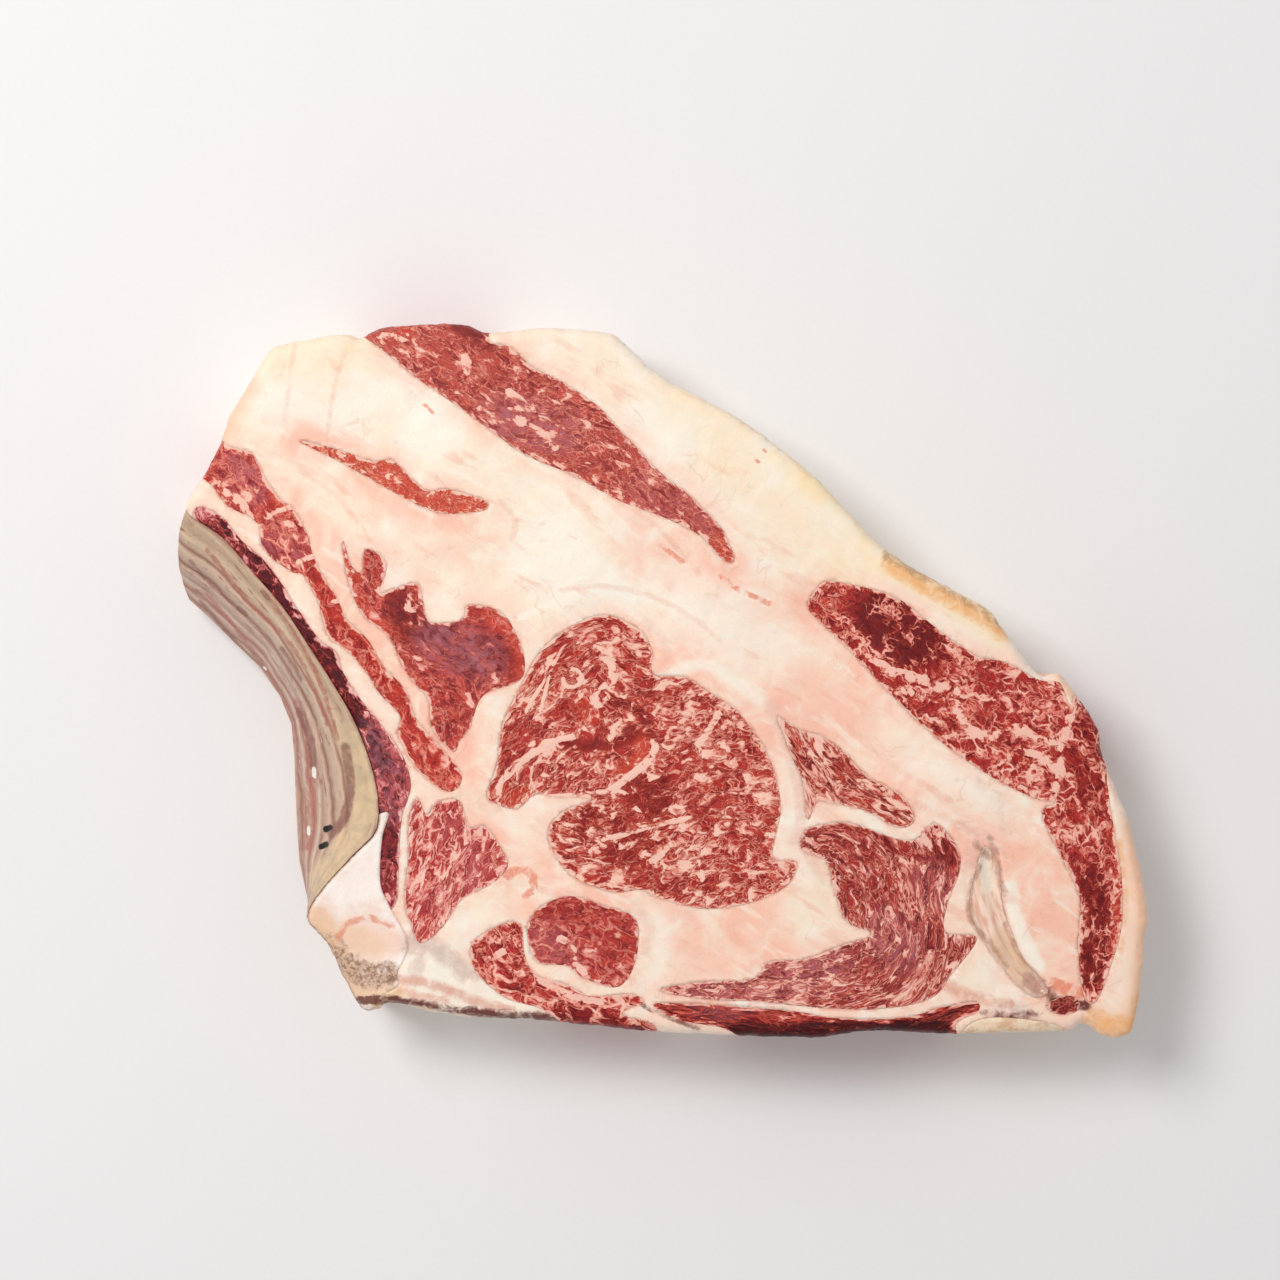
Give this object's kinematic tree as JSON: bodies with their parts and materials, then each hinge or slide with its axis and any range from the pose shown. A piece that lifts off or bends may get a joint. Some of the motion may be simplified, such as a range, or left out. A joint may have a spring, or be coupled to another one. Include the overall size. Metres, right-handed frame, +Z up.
{
  "type": "wagyu cote de boeuf",
  "caption": "Raw bone-in wagyu rib steak, a thick slab of white fat with marbled muscles running through it and a curved rib bone along one side.",
  "frame": {"origin": "the middle of the bounding box's underside, which lies on the steak's lower cut face", "axes": "+X along the steak's longest extent, from the rib bone toward the outer strip; +Y across the cut face, toward the thick fat corner; +Z up through the thickness, out of the upper cut face"},
  "size_m": [0.2822, 0.2068, 0.0417],
  "materials": {
    "eye": "large eye muscle, densely marbled, moist raw meat",
    "cap": "curved cap muscle with pale stripes along its bend, moist raw meat",
    "cap_lobe": "small upper lobe of the cap with curved pale stripes, moist raw meat",
    "top_strip": "rose-brown strip muscle, moist raw meat",
    "outer_strip": "dark maroon marbled strip, moist raw meat",
    "small_strip": "small orange-red strip, moist raw meat",
    "finger_meat": "red intercostal finger meat, moist raw meat",
    "upper_lobe": "lobed muscle with a dark core, moist raw meat",
    "fan_meat": "fan-grained muscle, moist raw meat",
    "round_meat": "round lower muscle, moist raw meat",
    "corner_meat": "marbled corner cluster, moist raw meat",
    "edge_strip": "dried dark strip on the lower edge, moist raw meat",
    "edge_meat": "small dark tip of meat, moist raw meat",
    "rib_meat": "purple-red meat along the bone's rim, moist raw meat",
    "fat": "smooth, slightly oily fat, cream white with a yellowed dry rind on the outer edge",
    "rib_bone": "damp grey-beige bone side with long ridges and brown-pink membrane lines",
    "chine_bone": "sawn backbone end: white cartilage and a spongy grey-brown bone face",
    "tendon": "glossy grey-beige tendon",
    "feather_bone": "pale yellow sawn bone sliver"
  },
  "bodies": {
    "root": {"eye": "eye", "cap": "cap", "cap_lobe": "cap_lobe", "top_strip": "top_strip", "outer_strip": "outer_strip", "small_strip": "small_strip", "finger_meat": "finger_meat", "upper_lobe": "upper_lobe", "fan_meat": "fan_meat", "round_meat": "round_meat", "corner_meat": "corner_meat", "edge_strip": "edge_strip", "edge_meat": "edge_meat", "rib_meat": "rib_meat", "fat": "fat", "rib_bone": "rib_bone", "chine_bone": "chine_bone", "tendon": "tendon", "feather_bone": "feather_bone"}
  },
  "joints": []
}
